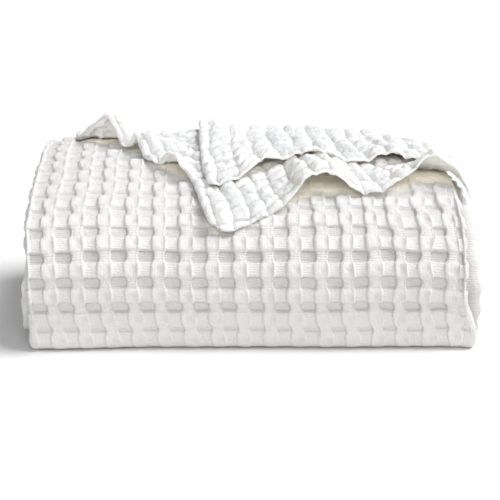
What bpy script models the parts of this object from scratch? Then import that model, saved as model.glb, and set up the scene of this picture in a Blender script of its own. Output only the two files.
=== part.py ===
"""Waffle weave cotton blanket, folded back and forth into one soft bundle.

The blanket is one sheet. It is laid double and folded back and forth, and the stack is bent once,
so that its rounded front is a single fold of the outer ply. The two ends of the sheet come over the
top from the back as loose layers, and their corners hang forward over the front with wavy hems.

Axes: +X runs along the width, +Y points from the rounded front to the back, +Z is up.
The origin is at the bottom centre of the bundle. Lengths in the tables are millimetres.
"""

import math

import bpy
import numpy as np

MM = 0.001

# Cloth, in section
PLY = 5.9  # the cloth laid double
LOOSE_PLY = 3.2  # the cloth laid single, in the two loose layers
GAP = 2.2
BACK_GAP = 3.0  # between the two plies that run up the back and over the top
PITCH = PLY + GAP
PLIES = 9
LOWER_RISE = PLY / 2 + GAP + LOOSE_PLY / 2
UPPER_RISE = LOWER_RISE + BACK_GAP + LOOSE_PLY

# The outer ply's mid-line in section, clockwise from the floor at the back
SECTION_COLUMNS = ("name", "length", "turn")  # a turn in degrees, clockwise
SECTION = (
    ("under the bundle", 200, 0),
    ("lower front edge", 12, 63),
    ("front, low", 22, 5),
    ("front, middle", 22, 9),
    ("front, high", 22, 20),
    ("shoulder, front", 22, 23),
    ("shoulder, top", 22, 21),
    ("shoulder, back", 22, 12),
    ("top, front", 45, 9),
    ("top, middle", 45, 7),
    ("top, back", 56, 12),
    ("top, falling", 46, 18),
    ("back edge", 50, 71),
)
BACK_FOOT = 22.0  # radius of the lower back edge
TURN_DEPTH = 2.6 * PITCH  # from the back to where the inner plies turn
TOP_LEVEL = 100.0  # the outline's back part above this height is the top
BACK_CORNER = 60.0  # the loose layers ease from the back to the top over this length
LINE_STEP = 1.5

# Across the width
OUTER_LEFT, OUTER_RIGHT = -188.0, 178.0
INNER_LEFT, INNER_RIGHT = -193.0, 193.0
WIDENING = 70  # points of the first inner ply over which it widens
LOWER_RIGHT, UPPER_RIGHT = 195.0, 186.0
SKEW = -0.038  # the bundle's front runs a little nearer at +X
CENTRE = (1.5, 101.1)  # x and y of the bundle's middle before it is moved to the origin
CELLS = 10

# Hems of the loose layers: how far each point lies from the back edge over the top, and its lift
HEM_COLUMNS = ("x", "reach", "lift")
LOWER_SIDE_HEM = (
    (-168, 0, 0),
    (-166, 35, 0),
    (-163, 62, 0),
    (-154, 74, 8),
    (-131, 82, 24),
    (-121, 91, 8),
    (-113, 99, 1),
    (-101, 110, 14),
    (-94, 123, 1),
    (-83, 144, 8),
    (-65, 155, 22),
    (-52, 166, 3),
    (-44, 184, 0),
    (-38, 210, 0),
    (-30, 231, 0),
)
LOWER_END_HEM = (
    (-30, 231, 0),
    (-15, 226, 0),
    (12, 217, 1),
    (38, 198, 16),
    (66, 186, 24),
    (91, 188, 8),
    (106, 188, 0),
    (135, 180, 12),
    (160, 168, 28),
    (178, 175, 18),
    (195, 190, -3),
)
UPPER_SIDE_HEM = (
    (-43, 0, 2),
    (-43, 22, 5),
    (-43, 45, 6),
    (-42, 68, 6),
    (-42, 90, 5),
    (-41, 120, 3),
    (-39, 150, 2),
    (-36, 170, 1),
    (-34, 187, 0),
)
UPPER_END_HEM = (
    (-34, 187, 0),
    (-5, 169, 0),
    (14, 157, 12),
    (40, 148, 14),
    (66, 143, 11),
    (92, 144, 2),
    (104, 143, 1),
    (121, 137, 11),
    (150, 136, 5),
    (173, 140, 2),
    (186, 141, 2),
)
LIFT_FADE = 58.0  # a hem's wave fades out over this much cloth

LAYER_SLACK = 1.15  # the upper layer rides a little higher than the waves below it
SIDE_PRESS = 30.0  # the upper layer presses the lower one down over this width

# The bundle's top falls away toward its right end
SAG_X, SAG_END_X, SAG = 30.0, 195.0, 18.0
SAG_Y, SAG_LENGTH = -175.0, 110.0  # it sets in behind the shoulder


def outline():
    """The outer ply's closed mid-line in section, as an array of (y, z)."""
    y, z, heading = 0.0, PLY / 2, 180.0
    line = [(y, z)]
    for row in SECTION:
        stretch = dict(zip(SECTION_COLUMNS, row))
        length, turn = stretch["length"], stretch["turn"]
        steps = max(1, round(length / LINE_STEP))
        for _ in range(steps):
            middle = math.radians(heading - turn / steps / 2)
            y += length / steps * math.cos(middle)
            z += length / steps * math.sin(middle)
            heading -= turn / steps
            line.append((y, z))
    foot = BACK_FOOT + PLY / 2
    drop = max(1, round((z - foot) / LINE_STEP))
    line += [(y, z + (foot - z) * i / drop) for i in range(1, drop + 1)]
    line += arc((y - BACK_FOOT, foot), BACK_FOOT, 0, -90)
    flat = round((y - BACK_FOOT) / LINE_STEP)
    line += [((y - BACK_FOOT) * (1 - i / flat), PLY / 2) for i in range(1, flat)]
    return np.array(line)


def arc(centre, radius, start, end):
    """Points along an arc in section, without its first one. Angles are in degrees."""
    steps = max(4, round(abs(math.radians(end - start)) * radius / LINE_STEP))
    angles = [math.radians(start + (end - start) * i / steps) for i in range(1, steps + 1)]
    return [
        (centre[0] + radius * math.cos(a), centre[1] + radius * math.sin(a)) for a in angles
    ]


def outward(line, closed=False):
    """Unit normals of a clockwise line, pointing out of the bundle."""
    if closed:
        along = np.roll(line, -1, axis=0) - np.roll(line, 1, axis=0)
    else:
        along = np.gradient(line, axis=0)
    out = np.stack([-along[:, 1], along[:, 0]], axis=1)
    return out / np.linalg.norm(out, axis=1, keepdims=True)


def lengths(line):
    """Arc length at each point of an open line."""
    steps = np.linalg.norm(np.diff(line, axis=0), axis=1)
    return np.concatenate([[0.0], np.cumsum(steps)])


LINE = outline()
NORMAL = outward(LINE, closed=True)
ALONG = lengths(LINE)
TURN_Y = LINE[:, 0].max() - TURN_DEPTH
TOP_START = next(i for i, p in enumerate(LINE) if p[1] > TOP_LEVEL and p[0] > TURN_Y)
REACH_ZERO = ALONG[TOP_START]


def on_outline(along, out):
    """Points at arc length along on the outline, moved outward by out."""
    foot = [np.interp(along, ALONG, LINE[:, i]) for i in (0, 1)]
    normal = [np.interp(along, ALONG, NORMAL[:, i]) for i in (0, 1)]
    return np.stack([foot[0] + normal[0] * out, foot[1] + normal[1] * out], axis=-1)


def smooth(line, rounds=6):
    """Softens the corners of an open line and keeps its ends."""
    line = line.copy()
    for _ in range(rounds):
        line[1:-1] = (line[:-2] + 2 * line[1:-1] + line[2:]) / 4
    return line


def even(line, step=1.0):
    """The open line with its points step apart."""
    along = lengths(line)
    marks = np.linspace(0, along[-1], round(along[-1] / step) + 1)
    return np.stack([np.interp(marks, along, line[:, i]) for i in (0, 1)], axis=1)


def nested_ply(number):
    """One ply's mid-line, from the bottom at the back round the front to the top at the back.

    It lies number pitches inside the outer ply and bends no tighter than half a pitch.
    """
    behind = TURN_Y + 1.5 * PITCH
    top = LINE[: TOP_START + 1]
    shell = even(np.concatenate([[(behind, PLY / 2)], top, [(behind, top[-1, 1])]]))
    depth = (number + 0.5) * PITCH
    moved = shell - outward(shell) * depth
    apart = np.linalg.norm(moved[:, None] - shell[None], axis=2).min(axis=1)
    core = smooth(even(moved[apart > depth - 0.2]), 10)
    ply = core + outward(core) * PITCH / 2
    return ply[ply[:, 0] < TURN_Y]


def edge_offset(share, inner, outer):
    """Eases from inner to outer as share goes from 0 to 1."""
    share = np.clip(share, 0, 1)
    return inner + (outer - inner) * share * share * (3 - 2 * share)


def body_path():
    """The sheet's mid-line from where the upper loose layer starts to where the lower one does.

    Each row is y, z, left end, right end and thickness.
    """
    rows = []

    def add(points, left, right, thickness):
        """Adds points, with the ends and thickness easing from the first to the second value."""
        for i, (y, z) in enumerate(points):
            share = i / max(1, len(points) - 1)
            pairs = (left, right, thickness)
            rows.append([y, z, *(a + (b - a) * share for a, b in pairs)])

    outer = (OUTER_LEFT, OUTER_LEFT), (OUTER_RIGHT, OUTER_RIGHT)
    inner = (INNER_LEFT, INNER_LEFT), (INNER_RIGHT, INNER_RIGHT)
    down = np.arange(REACH_ZERO, ALONG[-1], LINE_STEP)
    out = edge_offset((down - REACH_ZERO) / BACK_CORNER, UPPER_RISE, 0)
    left = UPPER_SIDE_HEM[0][0], OUTER_LEFT
    add(on_outline(down, out), left, (UPPER_RIGHT, OUTER_RIGHT), (LOOSE_PLY, PLY))
    start = LINE[: TOP_START + 1]
    add(start, *outer, (PLY, PLY))
    last = start[-1]
    for number in range(1, PLIES):
        ply = nested_ply(number)
        if number % 2:
            ply = ply[::-1]
        side = 90 if number % 2 else -90
        bend = arc((last + ply[0]) / 2, np.linalg.norm(ply[0] - last) / 2, side, -side)
        last = ply[-1]
        if number == 1:
            add(bend[:-1], *outer, (PLY, PLY))
            widening = (OUTER_LEFT, INNER_LEFT), (OUTER_RIGHT, INNER_RIGHT)
            add(ply[:WIDENING], *widening, (PLY, PLY))
            add(ply[WIDENING:], *inner, (PLY, PLY))
        else:
            add(bend[:-1], *inner, (PLY, PLY))
            add(ply, *inner, (PLY, PLY))
    depth = PLY + BACK_GAP
    radius = LINE[:, 0].max() - depth - last[0]
    add(arc((last[0], last[1] + radius), radius, -90, 0), *inner, (PLY, PLY))
    up = np.arange(ALONG[-1], REACH_ZERO, -LINE_STEP)
    out = edge_offset((up - REACH_ZERO) / BACK_CORNER, LOWER_RISE, -depth)
    riser = on_outline(up, out)
    low = last[1] + radius + LINE_STEP
    riser = riser[(riser[:, 1] > low) & (riser[:, 0] > TURN_Y - PITCH)]
    add(riser, (INNER_LEFT, LOWER_SIDE_HEM[0][0]), (INNER_RIGHT, LOWER_RIGHT), (PLY, LOOSE_PLY))
    return np.array(rows)


def spaced(path, rise=0.6, angle=50.0, longest=110.0):
    """Rows of the path, closer together where it bends, so that its chords stay within rise."""
    moves = np.linalg.norm(np.diff(path[:, :2], axis=0), axis=1)
    path = path[np.concatenate([[True], moves > LINE_STEP / 4])]
    line = path[:, :2]
    along = lengths(line)
    step = np.diff(line, axis=0)
    heading = np.unwrap(np.arctan2(step[:, 1], step[:, 0]))
    bend = np.abs(np.gradient(heading, along[:-1] + np.diff(along) / 2))
    bend = np.convolve(bend, np.ones(5) / 5, mode="same")
    need = np.sqrt(bend / (8 * rise)) + bend / math.radians(angle) + 1 / longest
    total = np.concatenate([[0.0], np.cumsum(need * np.diff(along))])
    marks = np.linspace(0, total[-1], math.ceil(total[-1]) + 1)
    at = np.interp(marks, total, along)
    return np.stack([np.interp(at, along, path[:, i]) for i in range(path.shape[1])], axis=1)


def column(hem, key, value, at):
    """Reads one named column of a hem table where another column has the value at."""
    names = HEM_COLUMNS
    rows = np.array(sorted(hem, key=lambda row: row[names.index(key)]), float)
    return np.interp(at, rows[:, names.index(key)], rows[:, names.index(value)])


def fade(distance):
    """1 at a hem, easing to 0 where the wave has died out."""
    return edge_offset(1 - distance / LIFT_FADE, 0, 1)


def loose_point(side_hem, end_hem, right, share, forward):
    """x, reach and lift of a loose layer's point.

    share goes from the side hem, 0, to the right end, 1. forward goes from the back, 0, to the
    end hem, 1.
    """
    corner_x, corner_reach = end_hem[0][:2]
    end_x = corner_x + (right - corner_x) * share
    hem_reach = column(end_hem, "x", "reach", end_x)
    left = column(side_hem, "reach", "x", forward * corner_reach)
    x = left + (right - left) * share
    reach = hem_reach * forward
    end_lift = column(end_hem, "x", "lift", end_x) * fade(hem_reach - reach)
    side_lift = column(side_hem, "reach", "lift", forward * corner_reach) * fade(x - left)
    if side_hem is LOWER_SIDE_HEM:
        side_lift *= edge_offset((UPPER_SIDE_HEM[0][0] - x) / SIDE_PRESS, 0, 1)
    return x, reach, end_lift + side_lift


def lower_lift(x, reach):
    """How far the lower loose layer is lifted at a place, or 0 where it doesn't lie."""
    forward = np.clip(reach / LOWER_END_HEM[0][1], 0, 1)
    left = column(LOWER_SIDE_HEM, "reach", "x", forward * LOWER_END_HEM[0][1])
    share = np.clip((x - left) / (LOWER_RIGHT - left), 0, 1)
    hem_x = LOWER_END_HEM[0][0] + (LOWER_RIGHT - LOWER_END_HEM[0][0]) * share
    hem_reach = column(LOWER_END_HEM, "x", "reach", hem_x)
    forward = np.clip(reach / hem_reach, 0, 1)
    return loose_point(LOWER_SIDE_HEM, LOWER_END_HEM, LOWER_RIGHT, share, forward)[2]


def upper_layer(share, forward):
    """A point of the upper loose layer: x, y and z before it is moved to the origin."""
    x, reach, lift = loose_point(UPPER_SIDE_HEM, UPPER_END_HEM, UPPER_RIGHT, share, forward)
    out = UPPER_RISE + lift + max(0, lower_lift(x, reach)) * LAYER_SLACK
    y, z = on_outline(REACH_ZERO - reach, out)
    return x, y, z


def lower_layer(share, forward):
    """A point of the lower loose layer: x, y and z before it is moved to the origin."""
    x, reach, lift = loose_point(LOWER_SIDE_HEM, LOWER_END_HEM, LOWER_RIGHT, share, forward)
    y, z = on_outline(REACH_ZERO - reach, LOWER_RISE + lift)
    return x, y, z


def layer_shares(end_hem, forward):
    """Where the columns lie across a loose layer: at the hem, one at each row of its table."""
    even_shares = np.linspace(0, 1, CELLS + 1)
    hem = np.array([row[0] for row in end_hem], float)
    hem_shares = (hem - hem[0]) / (hem[-1] - hem[0])
    return edge_offset(forward * 2, even_shares, hem_shares)


def blanket_rows():
    """Every row of the sheet's mid-surface, from the upper hem to the lower one."""
    rows = []
    for _, reach, _ in reversed(UPPER_SIDE_HEM[1:]):
        forward = reach / UPPER_END_HEM[0][1]
        shares = layer_shares(UPPER_END_HEM, forward)
        rows.append(([upper_layer(s, forward) for s in shares], LOOSE_PLY))
    for y, z, left, right, thickness in spaced(body_path()):
        shares = np.linspace(0, 1, CELLS + 1)
        rows.append(([(left + (right - left) * s, y, z) for s in shares], thickness))
    for _, reach, _ in LOWER_SIDE_HEM[1:]:
        forward = reach / LOWER_END_HEM[0][1]
        shares = layer_shares(LOWER_END_HEM, forward)
        rows.append(([lower_layer(s, forward) for s in shares], LOOSE_PLY))
    return rows


def placed(x, y, z):
    """The point in metres from the origin, with the bundle's sag and skew."""
    share = max(0, x - SAG_X) / (SAG_END_X - SAG_X)
    behind = edge_offset((y - SAG_Y) / SAG_LENGTH, 0, 1)
    height = (z - PLY / 2) / (LINE[:, 1].max() - PLY / 2)
    z -= SAG * share * share * behind * height
    return ((x - CENTRE[0]) * MM, (y + SKEW * x + CENTRE[1]) * MM, z * MM)


def cotton():
    """Washed white cotton."""
    material = bpy.data.materials.new("washed_white_cotton")
    material.use_nodes = True
    shader = material.node_tree.nodes["Principled BSDF"]
    shader.inputs["Base Color"].default_value = (0.86, 0.85, 0.83, 1.0)
    shader.inputs["Roughness"].default_value = 0.9
    shader.inputs["Metallic"].default_value = 0.0
    return material


def blanket(collection):
    """The whole blanket: a grid laid along the folds, then given its thickness."""
    rows = blanket_rows()
    bpy.ops.mesh.primitive_grid_add(x_subdivisions=CELLS, y_subdivisions=len(rows) - 1, size=2)
    sheet = bpy.context.object
    sheet.name = "blanket"
    thin = sheet.vertex_groups.new(name="double_cloth")
    for vertex in sheet.data.vertices:
        across = round((vertex.co.x + 1) / 2 * CELLS)
        along = round((vertex.co.y + 1) / 2 * (len(rows) - 1))
        points, thickness = rows[along]
        vertex.co = placed(*points[across])
        thin.add([vertex.index], (thickness - LOOSE_PLY) / (PLY - LOOSE_PLY), "REPLACE")
    solid = sheet.modifiers.new("Thickness", "SOLIDIFY")
    solid.thickness = PLY * MM
    solid.offset = 0
    solid.vertex_group = thin.name
    solid.thickness_vertex_group = LOOSE_PLY / PLY
    sheet.data.materials.append(cotton())
    for owner in list(sheet.users_collection):
        owner.objects.unlink(sheet)
    collection.objects.link(sheet)
    return sheet


def main():
    for thing in list(bpy.data.objects):
        bpy.data.objects.remove(thing, do_unlink=True)
    collection = bpy.data.collections.new("waffle_weave_blanket")
    bpy.context.scene.collection.children.link(collection)
    blanket(collection)


main()
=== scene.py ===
# %% [markdown]
# # A folded waffle weave blanket
# The object is one washed cotton blanket in a large waffle weave. It is folded back and forth,
# its rounded front is a single fold, and two loose corners hang over the top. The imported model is
# loaded first, because every sheet below has to lie where its solid lies.

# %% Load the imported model
import math

import bpy
import numpy as np
from mathutils import Matrix, Vector

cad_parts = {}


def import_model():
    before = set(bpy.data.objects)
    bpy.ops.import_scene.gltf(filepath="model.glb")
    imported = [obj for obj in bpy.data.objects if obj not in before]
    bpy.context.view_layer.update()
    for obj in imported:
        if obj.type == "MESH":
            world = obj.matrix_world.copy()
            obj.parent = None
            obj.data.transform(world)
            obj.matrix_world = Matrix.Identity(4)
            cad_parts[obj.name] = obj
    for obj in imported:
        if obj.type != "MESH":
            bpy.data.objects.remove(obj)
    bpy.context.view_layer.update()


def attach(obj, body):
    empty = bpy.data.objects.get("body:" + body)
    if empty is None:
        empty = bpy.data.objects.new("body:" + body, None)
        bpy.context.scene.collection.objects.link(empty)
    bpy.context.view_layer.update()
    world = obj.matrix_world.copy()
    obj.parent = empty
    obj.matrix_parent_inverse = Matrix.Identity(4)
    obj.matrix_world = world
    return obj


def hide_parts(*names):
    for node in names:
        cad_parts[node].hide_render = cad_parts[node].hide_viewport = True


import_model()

MM = 0.001

# %% [markdown]
# ## The camera
# The photograph looks down a little on the long front. A camera can be placed by eye, but here the
# angle and distance were worked out from the weave, whose repeat is even. One point of the bundle,
# the middle of its lower front edge, is tied to the pixel where it shows.

# %% Camera
FRAME_PIXELS = 500
FOCAL_PIXELS = 1100
SENSOR = 36.0
LOOK_DOWN, LOOK_RIGHT = 15.5, 2.2  # degrees
DISTANCE = 965 * MM
LOW_EDGE = Vector((-1.5, -109.9, 1.0)) * MM
LOW_EDGE_PIXEL = (252, 347)


def place_camera():
    """Puts the camera where the low edge shows at its pixel."""
    down, turn = math.radians(LOOK_DOWN), math.radians(LOOK_RIGHT)
    level = math.cos(down)
    forward = Vector((math.sin(turn) * level, math.cos(turn) * level, -math.sin(down)))
    right = Vector((math.cos(turn), -math.sin(turn), 0))
    up = right.cross(forward)
    across, drop = ((p - FRAME_PIXELS / 2) / FOCAL_PIXELS * DISTANCE for p in LOW_EDGE_PIXEL)
    camera = bpy.data.objects.new("camera", bpy.data.cameras.new("camera"))
    camera.data.sensor_width = SENSOR
    camera.data.lens = FOCAL_PIXELS / FRAME_PIXELS * SENSOR
    turned = Matrix((right, up, -forward)).transposed().to_4x4()
    place = LOW_EDGE - forward * DISTANCE - right * across + up * drop
    camera.matrix_world = Matrix.Translation(place) @ turned
    bpy.context.scene.collection.objects.link(camera)
    bpy.context.scene.camera = camera
    return camera


camera = place_camera()
print("lens, mm:", round(camera.data.lens, 1))

# %% [markdown]
# ## The fold in section
# Seen from its end, the bundle is one line: the outer ply runs under it, round the soft front and
# over the top. It is drawn as a chain of arcs, each with a length and a turn, because a fold is
# easier to shape by how much it bends than by points. These are the solid's own sizes.

# %% Section of the outer ply
PLY = 5.9  # the cloth laid double, mm
LOOSE_PLY = 3.2  # the two loose layers
GAP = 2.2  # between two plies
BACK_GAP = 3.0  # between the two loose layers
PITCH = PLY + GAP
PLIES = 9
LOWER_RISE = PLY / 2 + GAP + LOOSE_PLY / 2
UPPER_RISE = LOWER_RISE + BACK_GAP + LOOSE_PLY
SECTION = (  # a stretch's name, its length in mm and its turn in degrees
    ("under the bundle", 200, 0),
    ("lower front edge", 12, 63),
    ("front, low", 22, 5),
    ("front, middle", 22, 9),
    ("front, high", 22, 20),
    ("shoulder, front", 22, 23),
    ("shoulder, top", 22, 21),
    ("shoulder, back", 22, 12),
    ("top, front", 45, 9),
    ("top, middle", 45, 7),
    ("top, back", 56, 12),
    ("top, falling", 46, 18),
    ("back edge", 50, 71),
)
BACK_FOOT = 22.0  # radius of the lower back edge
TURN_DEPTH = 2.6 * PITCH  # the plies turn this far in front of the back
TOP_LEVEL = 100.0  # above this and behind those turns is the back edge
BACK_CORNER = 60.0  # the loose layers come off the outline over this length
LINE_STEP = 1.5

# %% The outer ply's mid-line


def arc(centre, radius, start, end):
    """Points along an arc in section, without its first one. Angles are in degrees."""
    steps = max(4, round(abs(math.radians(end - start)) * radius / LINE_STEP))
    angles = [math.radians(start + (end - start) * i / steps) for i in range(1, steps + 1)]
    return [(centre[0] + radius * math.cos(a), centre[1] + radius * math.sin(a)) for a in angles]


def outline():
    """The outer ply's closed mid-line, clockwise from the floor at the back."""
    y, z, heading = 0.0, PLY / 2, 180.0
    line = [(y, z)]
    for _, length, turn in SECTION:
        steps = max(1, round(length / LINE_STEP))
        for _ in range(steps):
            middle = math.radians(heading - turn / steps / 2)
            y += length / steps * math.cos(middle)
            z += length / steps * math.sin(middle)
            heading -= turn / steps
            line.append((y, z))
    foot = BACK_FOOT + PLY / 2
    drop = max(1, round((z - foot) / LINE_STEP))
    line += [(y, z + (foot - z) * i / drop) for i in range(1, drop + 1)]
    line += arc((y - BACK_FOOT, foot), BACK_FOOT, 0, -90)
    flat = round((y - BACK_FOOT) / LINE_STEP)
    line += [((y - BACK_FOOT) * (1 - i / flat), PLY / 2) for i in range(1, flat)]
    return np.array(line)


def outward(line, closed=False):
    """Unit normals of a clockwise line, pointing out of the bundle."""
    if closed:
        along = np.roll(line, -1, axis=0) - np.roll(line, 1, axis=0)
    else:
        along = np.gradient(line, axis=0)
    out = np.stack([-along[:, 1], along[:, 0]], axis=1)
    return out / np.linalg.norm(out, axis=1, keepdims=True)


def lengths(line):
    """Arc length at each point of an open line."""
    steps = np.linalg.norm(np.diff(line, axis=0), axis=1)
    return np.concatenate([[0.0], np.cumsum(steps)])


LINE = outline()
NORMAL = outward(LINE, closed=True)
ALONG = lengths(LINE)
TURN_Y = LINE[:, 0].max() - TURN_DEPTH
TOP_START = next(i for i, p in enumerate(LINE) if p[1] > TOP_LEVEL and p[0] > TURN_Y)
REACH_ZERO = ALONG[TOP_START]
print("outer ply, mm round:", round(ALONG[-1]), "to the back edge:", round(REACH_ZERO))

# %% [markdown]
# ## Placing a point on the bundle
# Each sheet is worked out flat, as a place across the bundle, a place along the section and a
# height off it, and then moved to where it lies. One function does that for every sheet, so that
# all of them share the bundle's sag and its slight skew. Most changes along the cloth are soft
# steps, so many of the values below are a pair: a place and the length that the step takes.

# %% Soft steps


def ease(share, start=0.0, end=1.0):
    """Goes softly from start to end as share goes from 0 to 1."""
    share = np.clip(share, 0, 1)
    return start + (end - start) * share * share * (3 - 2 * share)


def between(start, end, share):
    """The value at a share of the way from start to end."""
    return start + (end - start) * share


def past(value, start, length):
    """0 up to start, easing to 1 over a length."""
    return ease((value - start) / length)


def before(value, end, length):
    """1 up to a length before end, easing to 0 at end."""
    return ease((end - value) / length)


# %% Points on the bundle
SKEW = -0.038  # the folds run a little askew, by this much back for each mm across
CENTRE = (1.5, 101.1)  # x and y of the middle of the bundle before it is brought to the origin
SAG, SAG_X, SAG_END_X = 18.0, 30.0, 195.0  # the right end sags by this much, from here to here
SAG_Y, SAG_LENGTH = -175.0, 110.0  # the sag starts behind the front and grows toward the back
LEFT_DROP, LEFT_DROP_X, LEFT_DROP_LENGTH, DROP_LIMIT = 5.0, -130.0, 60.0, 1.2  # the left sags less
LEFT_HEIGHTS = (0, 0.13, 0.34, 0.55, 0.75, 1)  # at these shares of the height
LEFT_SPREAD = (-1.0, 0.0, 0.0, 0.0, -3.0, -3.0)  # the left end moves by this much
LEFT_END = (-140.0, 40.0)


def on_outline(along, out):
    """y and z at arc length along on the outline, moved outward by out."""
    y, z = (np.interp(along, ALONG, LINE[:, i]) for i in (0, 1))
    ny, nz = (np.interp(along, ALONG, NORMAL[:, i]) for i in (0, 1))
    return y + ny * out, z + nz * out


def placed(x, y, z):
    """The points in metres from the origin, on the settled bundle."""
    share = np.maximum(0, x - SAG_X) / (SAG_END_X - SAG_X)
    height = (z - PLY / 2) / (LINE[:, 1].max() - PLY / 2)
    z = z - SAG * share * share * past(y, SAG_Y, SAG_LENGTH) * height
    z = z - LEFT_DROP * np.clip((LEFT_DROP_X - x) / LEFT_DROP_LENGTH, 0, DROP_LIMIT) ** 2 * height
    x = x + np.interp(height, LEFT_HEIGHTS, LEFT_SPREAD) * before(x, *LEFT_END)
    return np.stack([x - CENTRE[0], y + SKEW * x + CENTRE[1], z], axis=-1) * MM


# %% [markdown]
# ## Unevenness
# Washed cotton is never even: ribs wander, cells pucker and plies slump. Blender has noise for
# that, but numpy can work out a whole sheet at once, so a small table of random numbers is
# smoothed over the cloth. Every use has a fixed seed, so each run gives the same cloth.

# %% Smooth noise
TABLE = 64


def lumps(u, v, size, seed):
    """Smooth random values from -1 to 1, in lumps about size mm wide."""
    table = np.random.default_rng(seed).uniform(-1, 1, (TABLE, TABLE))
    i, j = np.floor(u / size), np.floor(v / size)
    fu, fv = ease(u / size - i), ease(v / size - j)
    i, j = i.astype(int), j.astype(int)

    def at(di, dj):
        return table[(i + di) % TABLE, (j + dj) % TABLE]

    near = at(0, 0) * (1 - fu) + at(1, 0) * fu
    far = at(0, 1) * (1 - fu) + at(1, 1) * fu
    return near * (1 - fv) + far * fv


def drift(value, u, v, waves, seed):
    """Moves a value by lumps of several sizes, each with a seed of its own."""
    for far, size in waves:
        value = value + far * lumps(u, v, size, seed)
        seed += 1
    return value


def of_cell(i, j, seed):
    """One random value from -1 to 1 for each cell of the weave."""
    table = np.random.default_rng(seed).uniform(-1, 1, (TABLE, TABLE))
    return table[i.astype(int) % TABLE, j.astype(int) % TABLE]


# %% [markdown]
# ## The waffle
# A waffle weave floats long threads over a plain ground, and washing shrinks them, so the ground
# puckers into pockets. Here continuous ribs of warp run up the cloth. Each swells into an oval
# tuft with a shallow dish in it and narrows to a waist, and between the ribs flat bars of weft
# alternate with square pockets. The repeat is big enough to see, so it is modelled, not left to
# bump. The same function gives the tone, a painted shade from the dark of a deep crevice to the
# light of a tuft, a little greyer in a tuft's dish.

# %% Relief of the weave
RIB_HALF = 0.255  # a rib's half width, in repeats
BAR_HALF = 0.285  # a bar's or tuft's half height
RIB_WAIST, RIB_SWELL = 0.06, 0.035  # how much narrower a rib is at its waist, and wider at a tuft
WAIST_ROWS = (0.18, 0.24)  # where a tuft gives way to a waist, from the tuft's middle
# Levels, from 0 at the bottom of a pocket to 1 on a tuft, and how much each falls toward its edges
TUFT_LEVEL, WAIST_LEVEL, BAR_LEVEL, POCKET_LEVEL = 1.08, 0.66, 0.54, 0.06
TUFT_ROUND, WAIST_ROUND, BAR_ROUND, CROWN_ROUND = 0.2, 0.25, 0.22, 0.25
BAR_ENDS = 0.86  # a bar dips to this share of its height beside a rib
TUFT_UNEVEN, BAR_UNEVEN, DISH_UNEVEN = 0.18, 0.08, 0.3  # how much they differ from cell to cell
DISH_DEPTH, DISH_SIZE = 0.42, (0.13, 0.18)  # the shallow dish in a tuft
DISH_OFF, DISH_WANDER = 0.05, 0.03  # it lies off the middle, by more or less
BEADS, BEAD_AT, BEAD_WIDTH = (0.20, 0.08), 0.212, 0.035  # a bead of yarn on a rib's right and left
POCKET_PAINTED_SHADE = 0.76  # painted shade in a pocket, on a tone from 0 in the deepest crevice to 1 on a tuft
DISH_PAINTED_SHADE = 0.18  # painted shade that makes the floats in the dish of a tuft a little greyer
FULL_TONE = 0.45  # the level from which the tone is at its lightest, free of painted shade


def hump(value, centre, width):
    """A soft bump, 1 at its centre."""
    return np.exp(-(((value - centre) / width) ** 2))


def waffle(a, b, seed, edge=0.035, bar_half=BAR_HALF):
    """Height and painted-shade tone from 0 to about 1, shifts in repeats and the share of warp
    float.

    a and b count repeats across and along. A rib's middle is at each whole a, and a tuft's at each
    whole b.
    """
    i, j = np.round(a), np.round(b)
    fa, fb = a - i, b - j
    rib = ease((RIB_HALF - np.abs(fa)) / edge + 0.5)
    bar = ease((bar_half - np.abs(fb)) / edge + 0.5)
    plump = 1 + TUFT_UNEVEN * of_cell(i, j, seed)
    crown = 1 - CROWN_ROUND * np.clip(np.abs(fb) / BAR_HALF, 0, 1) ** 3
    middle = DISH_OFF + DISH_WANDER * of_cell(i, j, seed + 1)
    pressed = 1 + DISH_UNEVEN * of_cell(i, j, seed + 3)
    dish = pressed * hump(fa, middle, DISH_SIZE[0]) * hump(fb, 0.0, DISH_SIZE[1])
    tuft = plump * crown * (TUFT_LEVEL - TUFT_ROUND * (fa / RIB_HALF) ** 2) - DISH_DEPTH * dish
    waist = WAIST_LEVEL - WAIST_ROUND * (fa / RIB_HALF) ** 2
    right_bead, left_bead = (hump(fa, at, BEAD_WIDTH) for at in (BEAD_AT, -BEAD_AT))
    beads = BEADS[0] * right_bead + BEADS[1] * left_bead
    gap = np.round(a - 0.5)
    weft = BAR_LEVEL + BAR_UNEVEN * of_cell(gap, j, seed + 2)
    weft = weft * (1 - BAR_ROUND * (fb / BAR_HALF) ** 2)
    across_bar = (0.5 - np.abs(fa)) / (0.5 - RIB_HALF)
    weft = weft * (BAR_ENDS + (1 - BAR_ENDS) * across_bar)
    pocket = POCKET_LEVEL * across_bar
    height = rib * (bar * tuft + (1 - bar) * waist + beads)
    height += (1 - rib) * (bar * weft + (1 - bar) * pocket)
    narrow = past(np.abs(fb), *WAIST_ROWS)
    near_edge = np.where(
        np.abs(fa) < RIB_HALF, np.abs(fa) / RIB_HALF, (0.5 - np.abs(fa)) / (0.5 - RIB_HALF)
    )
    shift = -np.sign(fa) * near_edge * (RIB_WAIST * narrow - RIB_SWELL * (1 - narrow))
    # painted shade: the pockets and the dish of a tuft get a darker tone
    tone = POCKET_PAINTED_SHADE + (1 - POCKET_PAINTED_SHADE) * ease(height / FULL_TONE)
    tone -= DISH_PAINTED_SHADE * dish * rib * bar
    return height, tone, shift, rib * bar


# %% [markdown]
# ## The loose layers' hems
# The two loose layers end in hems that ripple like a ruffle. Each hem is a short table, a row for
# each crest and hollow: where it is across, how far it lies over the top and how high it is
# lifted. A smooth curve through the rows makes soft arches, and a hem's wave dies out behind it.

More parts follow.
